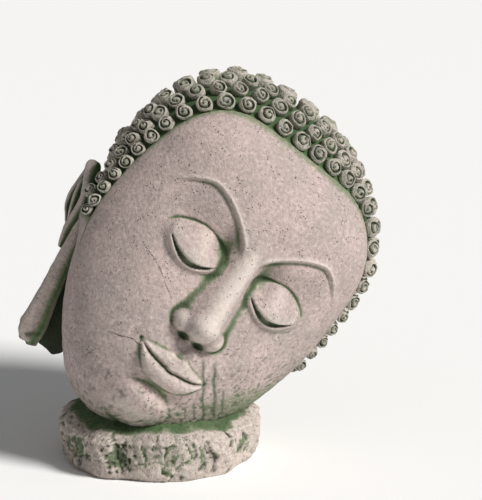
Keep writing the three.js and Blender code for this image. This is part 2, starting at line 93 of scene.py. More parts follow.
# ---------------------------------------------------------------- head: skull, face and jaw
# The head is cast in one with everything else, in pinkish grey stone. Its skin is a stack of
# level sections with the face raised on the front; over the hairline the scalp is a step lower.
CROWN, CHIN = 173.0, 203.0  # millimetres over and under the eye line
HALF_WIDTH, FRONT_DEPTH, BACK_DEPTH = 141.0, 116.0, 128.0
SECTION_POWER = 0.9
SCALP_STEP = 3.0
HAIR_TOP, HAIR_FOOT, NAPE_DROP = 134.0, -47.0, 55.0
HAIR_TEMPLE = math.radians(77)
HEAD_CENTRE = np.array([57.0, 44.0, 199.5])
LEAN_BACK, LEAN_SIDE, TURN = np.radians([12.0, 38.0, 16.0])
LOBE_SIDE, LOBE_SPREAD, LOBE_GAP = math.radians(100), math.radians(17), 12.0
HEAD_REACH = 190.0  # about how far the skin is from the middle of the head
# Nose: levels and how far it stands out there, then levels and its half-breadth.
NOSE_HEIGHTS = [-83, -80, -76, -70, -62, -52, -30, 0, 25, 50], [0, 3, 15, 27, 33, 32, 24.5, 15.5, 9, 0]
NOSE_BREADTHS = [-84, -60, -30, 0, 20, 50], [27, 31, 26, 23, 23, 40]
# Eyes: place aside and level of the middle, reach and rise of the lids.
EYE_PLACE, EYE_LEVEL, EYE_REACH, EYE_RISE = 51.0, -4.0, 36.0, 23.0
# Mouth: half-breadth, and the levels of the parting and of the upper and lower borders.
LIP_REACH, LIP_PARTING, LIP_TOP, LIP_FOOT = 40.0, -114.5, -101.5, -131.5
NO_CRACK = 99.0  # millimetres to the nearest crack, where there is none
FRONT_SIDE = 20.0  # the cracks and the mossy hollows lie in front of this depth


def ramp(x, a, b):
    """0 below a, 1 above b, and the smooth S 3t2 - 2t3 between."""
    t = np.clip((x - a) / (b - a), 0.0, 1.0)
    return t * t * (3 - 2 * t)


def bell(x):
    """A bell exp(-x2), of height 1 and half-breadth 1."""
    return np.exp(-x * x)


def cap(q, power):
    """A cap (1 - q) ^ power over q = 0, flat at 0 from q = 1 on."""
    return np.clip(1 - q, 0.0, None) ** power


def blend_max(a, b, radius):
    """The larger of two heights, with a valley of the given radius where they meet."""
    return 0.5 * (a + b + np.hypot(a - b, radius))


def egg_profile(z, size, upper, lower):
    """size (1 - u ^ squareness) ^ fullness, where u is the share of the way to the crown or the chin."""
    u = np.clip(np.abs(z) / np.where(z >= 0, CROWN, CHIN), 0, 1)
    squareness, fullness = (np.where(z >= 0, over, under) for over, under in zip(upper, lower))
    return size * (1 - u**squareness) ** fullness


def half_width(z):
    """Half the breadth of the level section at z."""
    return egg_profile(z, HALF_WIDTH, (3.3, 0.5), (1.95, 0.52))


def front_depth(z):
    """Depth of the section at z in front of its middle."""
    return egg_profile(z, FRONT_DEPTH, (4, 0.5), (5.2, 0.5))


def back_depth(z):
    """Depth of the section at z behind its middle."""
    return egg_profile(z, BACK_DEPTH, (2.5, 0.5), (2.4, 0.75))


def shift_back(z):
    """The jaw comes forward under the skull, and the crown lies back."""
    return 22 * ramp(z, 80, CROWN) - 18 * ramp(-z, 40, CHIN)


def shift_aside(z):
    """The crown leans a little to one side."""
    return -10 * ramp(z, 40, CROWN)


def lobe_hollow(azimuth, z):
    """The jaw is narrower beside the lobe, by a bell across the azimuth, so that the lobe hangs clear."""
    side = bell((np.abs(azimuth) - LOBE_SIDE) / LOBE_SPREAD)
    return LOBE_GAP * side * ramp(-z, 40, 85) * (1 - ramp(-z, 160, 195))


def skull(azimuth, z):
    """Superellipse sections: x = a sin ^ p, y = depth cos ^ p, shifted back and aside with height."""
    s, c = np.sin(azimuth), np.cos(azimuth)
    depth = np.where(c > 0, -front_depth(z), back_depth(z))
    breadth = half_width(z) * np.abs(s) ** SECTION_POWER - lobe_hollow(azimuth, z)
    x = np.sign(s) * breadth + shift_aside(z)
    y = depth * np.abs(c) ** SECTION_POWER + shift_back(z)
    return x, y


def hairline(azimuth):
    """Height of the hairline: level over the brow, steep at the temple, low on the nape."""
    share = np.abs(azimuth) / HAIR_TEMPLE
    nape = NAPE_DROP * ramp(share, 1.15, math.pi / HAIR_TEMPLE)
    return HAIR_FOOT - nape + (HAIR_TOP - HAIR_FOOT) * cap(share**5, 0.625)


def nose(s, z):
    """A ridge with a rounded section along the nose, a ball at its tip and a wing on each side."""
    ridge = np.interp(z, *NOSE_HEIGHTS) * cap((s / np.interp(z, *NOSE_BREADTHS)) ** 2, 1.6)
    tip = 36 * cap((s / 20) ** 2 + ((z + 60) / 18) ** 2, 0.55)
    wing = 19 * cap(((s - 17.5) / 13) ** 2 + ((z + 66) / 12.5) ** 2, 0.6)
    return np.clip(blend_max(blend_max(ridge, tip, 4), wing, 5) - 2.8, 0, None)


def brow_line(s):
    """Height of the arch: up from the root of the nose, and down to the temple."""
    return 14 + 46 * np.sin(np.pi * np.clip((s - 6) / 150, 0, 1)) ** 0.75 - 24 * ramp(s, 66, 122)


def brow(s, z):
    """A fine edge along an arch from the root of the nose to the temple, with a shelf over it. Its breadth
    is measured across the arch, so that it stays even where the arch is steep."""
    slope = (brow_line(s + 0.5) - brow_line(s - 0.5)).clip(-3, 3)
    e = (z - brow_line(s)) / np.sqrt(1 + slope**2)
    shelf = 2.6 * ramp(e, -3, 1) * np.exp(-np.clip(e, 0, None) / 22)
    under = 1.2 * bell((e + 4) / 2.5)
    return ramp(s, 8, 16) * (1 - ramp(s, 76, 120)) * (2.2 * bell(e / 2.6) + shelf - under)


def eye(s, z):
    """A long eyeball under a lowered lid, a crease over it, a narrow slit and the lower lid's rim."""
    ball = (np.abs(s - EYE_PLACE) / EYE_REACH) ** 1.6 + ((z - EYE_LEVEL) / EYE_RISE) ** 2
    crease = 1.8 * bell((np.sqrt(ball) - 1.0) / 0.06) * ramp(z, -2, 10)
    t = np.clip((s - 22) / 58, 0, 1)
    lid = -8 - 11 * np.sin(np.pi * t) ** 0.9 + 3 * t
    gap = 5.4 * np.sin(np.pi * np.clip((s - 24) / 54, 0, 1)) ** 0.8
    inside = ramp(s, 20, 27) * (1 - ramp(s, 76, 83))
    upper = 2.8 * ramp(z, lid - 0.6, lid + 0.6) * bell((z - lid) / 15)
    slit = 3 * ramp(lid - z, -0.4, 0.8) * (1 - ramp(lid - z, gap - 0.8, gap + 0.8))
    lower = 2.6 * ramp(lid - gap - z, -0.3, 1) * bell((lid - gap - z) / 6)
    return 13 * cap(ball, 0.95) - crease + inside * (upper - slit + lower)


def socket(s, z):
    """The hollow beside the root of the nose and the shallower one under the brow."""
    return 14 * bell((s - 27) / 14) * bell((z - 8) / 20) + 6.5 * bell((s - 62) / 28) * bell((z - 16) / 20)


def mouth(s, z):
    """Two rolled lips with fine borders, the line between them and a pit at each corner."""
    t = np.clip(s / LIP_REACH, 0, 1)
    line = LIP_PARTING - 1.5 * bell(s / 7) + 8.5 * t**2.6
    top = LIP_TOP + 2.4 * bell((s - 8) / 6) - 4.6 * t**2.4
    bottom = LIP_FOOT + 25 * t**3
    up = (z - line) / np.maximum(top - line, 1.0)
    down = (line - z) / np.maximum(line - bottom, 1.0)
    upper = (up > 0) * cap(((up - 0.42) / 0.66) ** 2, 0.5) + 0.22 * bell((up - 1.02) / 0.10)
    lower = (down > 0) * cap(((down - 0.46) / 0.60) ** 2, 0.5) + 0.16 * bell((down - 1.02) / 0.08)
    parting = 3.5 * (1 - ramp(s, 39, 44)) * bell((z - line) / 1.8)
    corner = 1.5 * bell((s - 45) / 9) * bell((z + 106) / 11)
    return (1 - ramp(s, 36, 41)) * (6 * upper + 7.5 * lower) - parting - corner


def cheeks_and_chin(s, z):
    """Full cheeks, the swell round the mouth, the groove over the lip and a round chin."""
    cheek = 7 * bell((s - 62) / 34) * bell((z + 60) / 36)
    muzzle = 9 * bell(s / 46) * bell((z + 113) / 34)
    philtrum = 1.7 * bell(s / 4.5) * ramp(z, -101, -90) * (1 - ramp(z, -86, -80))
    nostril = 7 * bell((s - 9) / 5) * bell((z + 79) / 4)
    under_lip = 4.5 * bell(s / 30) * bell((z + 140) / 7)
    chin = 11 * cap((s / 34) ** 2 + ((z + 163) / 26) ** 2, 0.9)
    return cheek + muzzle + chin - philtrum - under_lip - nostril


def face_height(x, z):
    """All the relief of the face, as a height in front of the skull."""
    s = np.abs(x)
    return cheeks_and_chin(s, z) + brow(s, z) + eye(s, z) + nose(s, z) + mouth(s, z) - socket(s, z)


def lean(points):
    """Turns points of the upright head by its turn, side lean and back lean, and sets it in place.
    What would reach through the underside is pressed into the inside of the base."""
    ca, sa = np.cos([-LEAN_BACK, LEAN_SIDE, TURN]), np.sin([-LEAN_BACK, LEAN_SIDE, TURN])
    about_x = np.array([[1, 0, 0], [0, ca[0], -sa[0]], [0, sa[0], ca[0]]])
    about_y = np.array([[ca[1], 0, sa[1]], [0, 1, 0], [-sa[1], 0, ca[1]]])
    about_z = np.array([[ca[2], -sa[2], 0], [sa[2], ca[2], 0], [0, 0, 1]])
    points = points @ (about_x @ about_y @ about_z).T + HEAD_CENTRE
    points[..., 2] = np.maximum(points[..., 2], 6.0 + 0.05 * points[..., 2])
    return points


def lattice_noise(points, cell, seed):
    """Smooth noise from -1 to 1: random values on a wrapped cubic lattice, blended with smooth steps."""
    side = 32
    values = np.random.default_rng(seed).uniform(-1, 1, (side, side, side))
    q = points / cell
    i = np.floor(q).astype(int)
    f = q - i
    f = f * f * (3 - 2 * f)
    total = 0
    for corner in np.ndindex(2, 2, 2):
        weight = np.where(corner, f, 1 - f).prod(-1)
        x, y, z = np.moveaxis((i + corner) % side, -1, 0)
        total = total + weight * values[x, y, z]
    return total


def noise_vectors(points, cell, *seeds):
    """A noise for each axis."""
    return np.stack([lattice_noise(points, cell, seed) for seed in seeds], -1)


def soften(field, passes):
    """Smooths a grid that wraps across its columns, with the weights 1 2 1 each way, many times over."""
    for _ in range(passes):
        field = 0.25 * (np.roll(field, 1, 1) + np.roll(field, -1, 1)) + 0.5 * field
        padded = np.concatenate([field[:1], field, field[-1:]])
        field = 0.25 * (padded[:-2] + padded[2:]) + 0.5 * field
    return field


def closed_grid_faces(rows, columns):
    """Quads of a grid whose columns close into rings, and a fan of triangles at each end point.
    The end points follow the grid: the foot first, then the top."""
    near = np.arange(rows * columns).reshape(rows, columns)
    far = np.roll(near, -1, 1)
    quads = np.stack([near[:-1], far[:-1], far[1:], near[1:]], -1)
    foot = np.stack([np.full(columns, rows * columns), far[0], near[0]], -1)
    top = np.stack([np.full(columns, rows * columns + 1), near[-1], far[-1]], -1)
    return quads.reshape(-1, 4), np.concatenate([foot, top])


def make_piece(name, points_mm, quads, triangles, masks):
    """A smooth mesh object in metres, with one float attribute on its points for each mask. A piece that
    states no cracks or drips has none."""
    masks = {"crack": np.full(len(points_mm), NO_CRACK), "drip": np.zeros(len(points_mm)), **masks}
    mesh = bpy.data.meshes.new(name)
    mesh.vertices.add(len(points_mm))
    mesh.vertices.foreach_set("co", (points_mm / 1000.0).astype(np.float32).ravel())
    loops = np.concatenate([quads.ravel(), triangles.ravel()]).astype(np.int32)
    sizes = np.concatenate([np.full(len(quads), 4), np.full(len(triangles), 3)])
    starts = np.concatenate([[0], np.cumsum(sizes)[:-1]]).astype(np.int32)
    mesh.loops.add(len(loops))
    mesh.loops.foreach_set("vertex_index", loops)
    mesh.polygons.add(len(sizes))
    mesh.polygons.foreach_set("loop_start", starts)
    mesh.update(calc_edges=True)
    mesh.polygons.foreach_set("use_smooth", np.ones(len(sizes), bool))
    for mask_name, values in masks.items():
        attribute = mesh.attributes.new(mask_name, "FLOAT", "POINT")
        attribute.data.foreach_set("value", values.astype(np.float32).ravel())
    mesh.validate()
    piece = bpy.data.objects.new(name, mesh)
    bpy.context.scene.collection.objects.link(piece)
    return piece


def unit(vectors):
    """The vectors at length 1."""
    return vectors / np.linalg.norm(vectors, axis=-1, keepdims=True)


def hairline_distance(azimuth, z):
    """Distance from the hairline, positive on the scalp: the height over it, less where it is steep."""
    step = 0.01
    slope = (hairline(azimuth + step) - hairline(azimuth - step)) / (2 * step) / HALF_WIDTH
    return (z - hairline(azimuth)) / np.sqrt(1 + slope**2)


FACE_FOOT, FACE_TOP, CROWN_FOOT = -161, 68, 150  # levels between which the grid is close, then wider
FACE_EDGE, REAR_EDGE = np.radians([84, 276])  # azimuths between which it is wider
POLE = 0.497 * math.pi  # the end rings stop just short of the poles


def skin_grid():
    """Levels from chin to crown and azimuths round the head, closest over the face. Under and over it the
    levels follow a sine, so that the rings close evenly on the poles."""
    jaw = -CHIN * np.sin(np.linspace(POLE, 0.30 * math.pi, 18))
    face = np.linspace(FACE_FOOT, FACE_TOP, 196)
    over_face = np.linspace(FACE_TOP + 2, CROWN_FOOT, 34)
    crown = CROWN_FOOT + (CROWN - CROWN_FOOT) * np.sin(np.linspace(0.06, POLE, 12))
    front = np.linspace(-FACE_EDGE, FACE_EDGE, 260)
    back = np.linspace(FACE_EDGE, REAR_EDGE, 62)[1:-1]
    return np.meshgrid(np.concatenate([front, back]), np.concatenate([jaw, face, over_face, crown]))


azimuths, levels = skin_grid()
azimuths = (azimuths + np.pi) % (2 * np.pi) - np.pi
x, y = skull(azimuths, levels)
relief = face_height(x, levels) * ramp(np.cos(azimuths), 0.05, 0.35)
over_hairline = hairline_distance(azimuths, levels)
scalp = ramp(over_hairline, -1.5, 3.0)
skin = np.stack([x, y - relief, levels], -1)
skin = skin + unit(-skin * [1, 1, 0.8]) * (SCALP_STEP * scalp)[..., None]
proud = relief - soften(relief, 20)
hollow = np.clip((-proud - 0.15) / 2.3, 0, 1)
# Where the relief stands proud: paler worn stone, partly a painted highlight.
wear_and_highlight = np.clip((proud - 0.35) / 1.6, 0, 1)
rows, columns = levels.shape
foot = [0, shift_back(-CHIN), -CHIN]
top = [shift_aside(CROWN), shift_back(CROWN), CROWN - SCALP_STEP]
skin_points = lean(np.concatenate([skin.reshape(-1, 3), [foot, top]]))
outwards = (skin_points - HEAD_CENTRE) / HEAD_REACH
skin_points += 0.35 * lattice_noise(skin_points, 9.0, 3)[:, None] * outwards
# The casting is coarser low down, where water has eaten at it.
grit = 0.6 * lattice_noise(skin_points, 3.4, 4) + 0.5 * lattice_noise(skin_points, 2.3, 8)
coarse = 0.06 + 0.60 * (1 - ramp(skin_points[:, 2], 70, 205))
skin_points += (coarse * grit)[:, None] * outwards
eaten = coarse * np.clip(-1.6 * grit - 0.2, 0, 1)
quads, triangles = closed_grid_faces(rows, columns)


def crack_distance(points, routes):
    """Distance in the front view from the nearest of some broken lines, which two noises warp a little."""
    best = np.full(len(points), NO_CRACK)
    flat = points[:, [0, 2]] + 1.6 * noise_vectors(points, 7.0, 11, 12)
    for route in routes:
        for a, b in zip(route[:-1], route[1:]):
            a, b = np.array(a, float), np.array(b, float)
            t = np.clip(((flat - a) @ (b - a)) / ((b - a) @ (b - a)), 0, 1)
            best = np.minimum(best, np.linalg.norm(flat - a - t[:, None] * (b - a), axis=1))
    return np.where(points[:, 1] < FRONT_SIDE, best, NO_CRACK)


CRACKS = [
    [(-12, 238), (4, 217), (10, 201), (16, 185)],
    [(-46, 152), (-28, 148), (-14, 143)],
]
# Green drips run straight down to the base: place, top, foot, half-breadth.
DRIPS = [(47, 126, 58, 1.5), (58, 120, 58, 1.8), (38, 84, 60, 1.0), (66, 92, 60, 0.9), (30, 80, 62, 0.8)]


def drip_mask(points):
    """A bell across each drip, which wanders a little with height, between its top and its foot."""
    total = np.zeros(len(points))
    for place, top, foot, breadth in DRIPS:
        wander = 1.2 * lattice_noise(points * [0, 0, 1.0], 9.0, int(place))
        across = bell((points[:, 0] - place - wander) / breadth)
        over_foot = ramp(points[:, 2], foot - 6, foot)
        under_top = 1 - ramp(points[:, 2], top - 10, top)
        total = np.maximum(total, across * over_foot * under_top)
    return total * (points[:, 1] < 0)


def with_ends(field, foot, top):
    """A grid's values in the order of the piece's points, with the two end points."""
    return np.concatenate([field.ravel(), [foot, top]])


# Algae grow in the hollows, along the hairline, on the scalp and low down, where the stone stays damp.
skin_x, skin_height = skin_points[:, 0], skin_points[:, 2]
damp = 0.38 * (1 - ramp(skin_height, 62, 96)) + 0.05 * (1 - ramp(skin_height, 110, 200))
damp += 0.18 * (1 - ramp(skin_height, 90, 170)) * ramp(skin_x, 20, 90) + 0.55 * eaten
moss = np.maximum(0.95 * hollow, np.maximum(1.15 * scalp, 0.64 * bell((over_hairline + 1) / 7.5)))
moss = np.maximum(with_ends(moss, 0, 1), damp)
# Dirt and painted shade: near-black in the deepest hollows of the face, on the scalp between the curls and
# in the pits of the eaten stone low down.
dirt_and_shade = with_ends(np.maximum(0.7 * ramp(hollow, 0.6, 1.0), 0.34 * ramp(over_hairline, 3, 9)), 0, 0.5)
dirt_and_shade = np.maximum(dirt_and_shade, 0.8 * eaten)
head_masks = {
    "moss": moss,
    "dirt_and_shade": dirt_and_shade,
    "wear_and_highlight": with_ends(wear_and_highlight * (1 - scalp), 0, 0),
    "crack": crack_distance(skin_points, CRACKS),
    "drip": drip_mask(skin_points),
}
head = make_piece("head_skin", skin_points, quads, triangles, head_masks)


def new_group(name, inputs, outputs):
    """A shader node group with its input and output nodes. Its sockets are values, apart from Vector."""
    group = bpy.data.node_groups.new(name, "ShaderNodeTree")
    for in_out, socket_names in (("INPUT", inputs), ("OUTPUT", outputs)):
        for socket_name in socket_names:
            kind = "NodeSocketVector" if socket_name == "Vector" else "NodeSocketFloat"
            group.interface.new_socket(socket_name, in_out=in_out, socket_type=kind)
    return group, group.nodes.new("NodeGroupInput"), group.nodes.new("NodeGroupOutput")


def noise_node(tree, vector, scale, detail, roughness=0.5):
    """A noise texture on a vector socket, as its value socket."""
    node = tree.nodes.new("ShaderNodeTexNoise")
    set_values(node, {"Scale": scale, "Detail": detail, "Roughness": roughness})
    tree.links.new(vector, node.inputs["Vector"])
    return node.outputs["Fac"]


def map_range(tree, value, low, high, to_low=0.0, to_high=1.0):
    """A clamped smooth map of a value socket from one range to another."""
    node = tree.nodes.new("ShaderNodeMapRange")
    node.interpolation_type = "SMOOTHSTEP"
    set_values(node, {"From Min": low, "From Max": high, "To Min": to_low, "To Max": to_high})
    tree.links.new(value, node.inputs["Value"])
    return node.outputs["Result"]


def calculate(tree, operation, a, b):
    """A math node on two sockets or numbers."""
    node = tree.nodes.new("ShaderNodeMath")
    node.operation = operation
    for socket_index, value in enumerate((a, b)):
        if isinstance(value, (int, float)):
            node.inputs[socket_index].default_value = value
        else:
            tree.links.new(value, node.inputs[socket_index])
    return node.outputs[0]


def blend_colour(tree, mask, a, b):
    """A colour between two colours or sockets, by a mask socket."""
    node = tree.nodes.new("ShaderNodeMix")
    node.data_type = "RGBA"
    tree.links.new(mask, node.inputs["Factor"])
    for socket_name, value in (("A", a), ("B", b)):
        target = next(s for s in node.inputs if s.name == socket_name and s.type == "RGBA")
        if isinstance(value, tuple):
            target.default_value = (*value, 1)
        else:
            tree.links.new(value, target)
    return next(s for s in node.outputs if s.type == "RGBA")


def cast_grain_group():
    """Cast stone close up: clouds of tone, sand of a few millimetres, fine grain, dark air pits, and the
    height of all of them."""
    outputs = ("Clouds", "Sand", "Grain", "Pits", "Height")
    group, entry, leave = new_group("cast_grain", ("Vector",), outputs)
    vector = entry.outputs["Vector"]
    clouds = noise_node(group, vector, 17.0, 5.0, 0.6)
    sand = noise_node(group, vector, 260.0, 4.0, 0.7)
    grain = noise_node(group, vector, 700.0, 3.0, 0.6)
    cells = group.nodes.new("ShaderNodeTexVoronoi")
    set_values(cells, {"Scale": 330.0})
    group.links.new(vector, cells.inputs["Vector"])
    spots = map_range(group, cells.outputs["Distance"], 0.14, 0.30, 1.0, 0.0)
    swarms = map_range(group, noise_node(group, vector, 95.0, 2.0), 0.52, 0.62)
    pits = calculate(group, "MULTIPLY", spots, swarms)
    grain_height = calculate(group, "MULTIPLY", grain, 0.6)
    sand_height = calculate(group, "MULTIPLY", sand, 1.1)
    height = calculate(group, "SUBTRACT", calculate(group, "ADD", grain_height, sand_height), pits)
    for output, value in zip(outputs, (clouds, sand, grain, pits, height)):
        group.links.new(value, leave.inputs[output])
    return group


def growth_group():
    """Algae and moss: a soft wash where the amount is high, ragged at its edge, and denser tufts in it."""
    group, entry, leave = new_group("green_growth", ("Vector", "Amount"), ("Wash", "Tufts"))
    vector = entry.outputs["Vector"]
    broad = calculate(group, "MULTIPLY", noise_node(group, vector, 38.0, 6.0, 0.65), 0.55)
    fine = calculate(group, "MULTIPLY", noise_node(group, vector, 260.0, 4.0, 0.65), 0.35)
    ragged = calculate(group, "ADD", broad, fine)
    pushed = calculate(group, "ADD", entry.outputs["Amount"], calculate(group, "SUBTRACT", ragged, 0.47))
    group.links.new(map_range(group, pushed, 0.22, 0.72), leave.inputs["Wash"])
    group.links.new(map_range(group, pushed, 0.70, 1.15), leave.inputs["Tufts"])
    return group


CAST_GRAIN = cast_grain_group()
GREEN_GROWTH = growth_group()
DARK_SAND, PALE_SAND = (0.27, 0.235, 0.215), (0.70, 0.61, 0.56)
# The first is a paler tone for worn edges, partly a painted highlight on proud edges.
WORN_EDGE_AND_HIGHLIGHT, PIT_SHADE, CRACK_SHADE = (0.72, 0.65, 0.58), (0.10, 0.085, 0.075), (0.10, 0.08, 0.07)
ALGAE, MOSS, DRIP_STAIN = (0.125, 0.19, 0.085), (0.04, 0.105, 0.028), (0.06, 0.085, 0.045)
# Near-black green for dirt together with painted shade in hollows, grooves and the gaps between parts.
GRIME_AND_SHADE = (0.018, 0.027, 0.013)


def weathered_stone(name, light, dark, bump):
    """Pinkish grey cast stone with clouds of tone, sandy grain, pits, cracks, drips, green growth,
    near-black dirt and painted shade in the hollows, and paler stone where its edges are worn, partly a
    painted highlight. The bump is the depth of its grain in metres."""
    material = bpy.data.materials.new(name)
    material.use_nodes = True
    tree = material.node_tree
    shader = tree.nodes["Principled BSDF"]
    place = tree.nodes.new("ShaderNodeTexCoord").outputs["Object"]

    def mask(mask_name):
        node = tree.nodes.new("ShaderNodeAttribute")
        node.attribute_name = mask_name
        return node.outputs["Fac"]

    def layer(under, amount, share, over):
        return blend_colour(tree, calculate(tree, "MULTIPLY", amount, share), under, over)

    grain = tree.nodes.new("ShaderNodeGroup")
    grain.node_tree = CAST_GRAIN
    tree.links.new(place, grain.inputs["Vector"])
    growth = tree.nodes.new("ShaderNodeGroup")
    growth.node_tree = GREEN_GROWTH
    tree.links.new(place, growth.inputs["Vector"])
    tree.links.new(mask("moss"), growth.inputs["Amount"])

    colour = blend_colour(tree, map_range(tree, grain.outputs["Clouds"], 0.36, 0.66), dark, light)
    speckle = map_range(tree, grain.outputs["Sand"], 0.44, 0.64, 0.0, 0.50)
    colour = blend_colour(tree, speckle, colour, DARK_SAND)
    pale = map_range(tree, grain.outputs["Sand"], 0.30, 0.46, 0.55, 0.0)
    colour = blend_colour(tree, pale, colour, PALE_SAND)
    # Paler worn edges, partly a painted highlight on proud edges.
    colour = layer(colour, mask("wear_and_highlight"), 0.55, WORN_EDGE_AND_HIGHLIGHT)
    colour = layer(colour, grain.outputs["Pits"], 0.7, PIT_SHADE)
    colour = layer(colour, growth.outputs["Wash"], 0.80, ALGAE)
    colour = layer(colour, growth.outputs["Tufts"], 0.80, MOSS)
    # Near-black dirt and painted shade in hollows, grooves and gaps.
    colour = layer(colour, mask("dirt_and_shade"), 0.9, GRIME_AND_SHADE)
    streaks = map_range(tree, grain.outputs["Grain"], 0.30, 0.55, 0.45, 1.0)
    colour = layer(colour, mask("drip"), streaks, DRIP_STAIN)
    cracks = map_range(tree, mask("crack"), 0.22, 0.75, 0.85, 0.0)
    colour = blend_colour(tree, cracks, colour, CRACK_SHADE)
    tree.links.new(colour, shader.inputs["Base Color"])
    set_values(shader, {"Roughness": 0.9, "Specular IOR Level": 0.3})

    height = calculate(tree, "SUBTRACT", grain.outputs["Height"], calculate(tree, "MULTIPLY", cracks, 1.2))
    relief_node = tree.nodes.new("ShaderNodeBump")
    set_values(relief_node, {"Strength": 1.0, "Distance": bump})
    tree.links.new(height, relief_node.inputs["Height"])
    tree.links.new(relief_node.outputs["Normal"], shader.inputs["Normal"])
    return material


FACE_STONE = weathered_stone("face_stone", (0.545, 0.43, 0.40), (0.43, 0.355, 0.33), 0.0012)
head.data.materials.append(FACE_STONE)
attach(head, "root")
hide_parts("buddha_head")

# ---------------------------------------------------------------- snail curls
# The hair is rows of snail curls, cast with the head: each is a barrel with a thin wall round its top,
# and a groove that winds in to a pit. The rows follow the hairline; the back is wider set and plainer.
CURL_RADIUS, CURL_HEIGHT = 9.3, 14.0
CURL_PITCH, ROW_PITCH = 21.5, 24.0
BACK_PITCH, BACK_ROW_PITCH = 33.0, 32.0
CREST_PITCH = 27.0  # of the row behind the front ones, over the top of the head
FRONT_ROWS, FIRST_ROW = 3, 13.0
TILTS = (0.6, 0.45, 0.35, 0.15)  # how far the first rows are turned to face the front
HAIR_CENTRE = np.array([0.0, 5.0, 20.0])
WHORL = math.radians(30)  # how far the middle of the rows lies over the level, at the back
WHORL_GAP = 12.0  # the last row keeps this far from the whorl
RING_STEPS = 72  # of the rings along which the rows are measured
HALVINGS = 40
TOP_SHARE, RIM_LEVEL = 0.68, 0.66  # of a curl's rows, those on its top; of its height, the rim's
GROOVE_WIND, GROOVE_START, GROOVE_END = 0.40, 0.78, 0.30  # shares of the radius


def section_shares(points):
    """Places across and along the level section through each point, as shares of its breadth and depth."""
    x, y, z = np.moveaxis(points, -1, 0)
    x, y = x - shift_aside(z), y - shift_back(z)
    depth = np.where(y < 0, front_depth(z), back_depth(z))
    return x / np.maximum(half_width(z), 1e-6), y / np.maximum(depth, 1e-6)


def skull_measure(points):
    """Sum of the powered shares of the breadth and depth of the section: 1 on the skull."""
    x, y = np.abs(section_shares(points)) ** (2 / SECTION_POWER)
    inside = np.abs(points[..., 2]) < np.where(points[..., 2] > 0, CROWN, CHIN)
    return np.where(inside, x + y, 2.0)


def hair_direction(from_whorl, around):
    """Unit vector at an angle from the whorl, and an angle round it that is 0 over the forehead."""
    right, up = np.sin(from_whorl) * [np.sin(around), np.cos(around)]
    back = np.cos(from_whorl)
    c, s = math.cos(WHORL), math.sin(WHORL)
    return np.stack([right, c * back - s * up, s * back + c * up], -1)


def last_inside(is_inside, near, far):
    """The last value between two that is inside, by halving the span."""
    for _ in range(HALVINGS):
        mid = 0.5 * (near + far)
        inside = is_inside(mid)
        near, far = np.where(inside, mid, near), np.where(inside, far, mid)
    return near


def skull_along(direction):
    """Where rays from the middle of the hair leave the skull."""

    def on_ray(reach):
        return HAIR_CENTRE + direction * reach[..., None]

    start = np.zeros(direction.shape[:-1])
    return on_ray(last_inside(lambda reach: skull_measure(on_ray(reach)) < 1, start, start + CROWN + CHIN))


def azimuth_of(points):
    """The azimuth at which the superellipse section passes through each point."""
    x, y = section_shares(points)
    power = 1 / SECTION_POWER
    return np.arctan2(np.sign(x) * np.abs(x) ** power, -np.sign(y) * np.abs(y) ** power)


def hair_edge(around):
    """Angle from the whorl at which the hair ends."""

    def on_scalp(from_whorl):
        points = skull_along(hair_direction(from_whorl, around))
        return points[..., 2] > hairline(azimuth_of(points))

    return last_inside(on_scalp, np.full(around.shape, 0.3), np.full(around.shape, 2.6))


def temple_share(around):
    """1 over the forehead, less at the temples, where the curls are smaller and closer set."""
    return 1 - 0.24 * ramp(np.minimum(around, 2 * math.pi - around), *np.radians([50, 95]))


def behind_temple(around):
    """0 over the face and at the temples, 1 behind the ears."""
    return ramp(np.minimum(around, 2 * math.pi - around), *np.radians([112, 140]))


def pitch_at(row, around):
    """Distance between curls of a row: closer at the temples, wider behind the ears and at the back."""
    front = CURL_PITCH * temple_share(around) if row < FRONT_ROWS else CREST_PITCH + 0 * around
    front = front + (BACK_PITCH - front) * behind_temple(around)
    return front if row <= FRONT_ROWS else np.full(np.shape(around), BACK_PITCH)


def behind_ear(points):
    """The space that the ear fills, where no curl stands."""
    x, y, z = np.moveaxis(points, -1, 0)
    return (np.abs(x) > 90) & (y > 2) & (y < 66) & (z < 12) & (z > -120)


def curl_places():
    """Rows at set shares of the way from the hairline to the whorl, each cut into equal pitches. Also says
    which curls are the rich ones, in the front rows and on the crest."""
    ring = np.arange(RING_STEPS + 1) / RING_STEPS * 2 * math.pi
    edge = hair_edge(ring)
    radius = np.linalg.norm(skull_along(hair_direction(edge[:1], ring[:1])) - HAIR_CENTRE)
    total = radius * edge[0]
    found = []
    distance, row = FIRST_ROW, 0
    while distance < total - WHORL_GAP:
        share = 1 - distance * temple_share(ring) / total
        steps = np.linalg.norm(np.diff(skull_along(hair_direction(edge * share, ring)), axis=0), axis=1)
        pitches = pitch_at(row, (np.arange(RING_STEPS) + 0.5) / RING_STEPS * 2 * math.pi)
        counts = np.concatenate([[0], np.cumsum(steps / pitches)])
        number = max(5, round(counts[-1]))
        around = np.interp((np.arange(number) + 0.5 * (row % 2)) * counts[-1] / number, counts, ring)
        share = 1 - distance * temple_share(around) / total
        points = skull_along(hair_direction(hair_edge(around) * share, around))
        sizes = pitch_at(row, around) / CURL_PITCH
        tilts = (TILTS[row] if row < len(TILTS) else 0.0) * (1 - behind_temple(around))
        rich = (behind_temple(around) < 0.05) & (row <= FRONT_ROWS)
        free = ~behind_ear(points)
        found.append([column[free] for column in (points, sizes, tilts, rich)])
        row += 1
        distance += ROW_PITCH if row < FRONT_ROWS else BACK_ROW_PITCH
    whorl = skull_along(hair_direction(np.zeros(1), np.zeros(1)))
    found.append([whorl, [BACK_PITCH / CURL_PITCH], [0.0], [False]])
    return (np.concatenate(column) for column in zip(*found))


def skull_normals(points):
    """The outward slope of the skull measure, as unit vectors."""
    h = 0.5
    slopes = [skull_measure(points + h * axis) - skull_measure(points - h * axis) for axis in np.eye(3)]
    return unit(np.stack(slopes, -1))


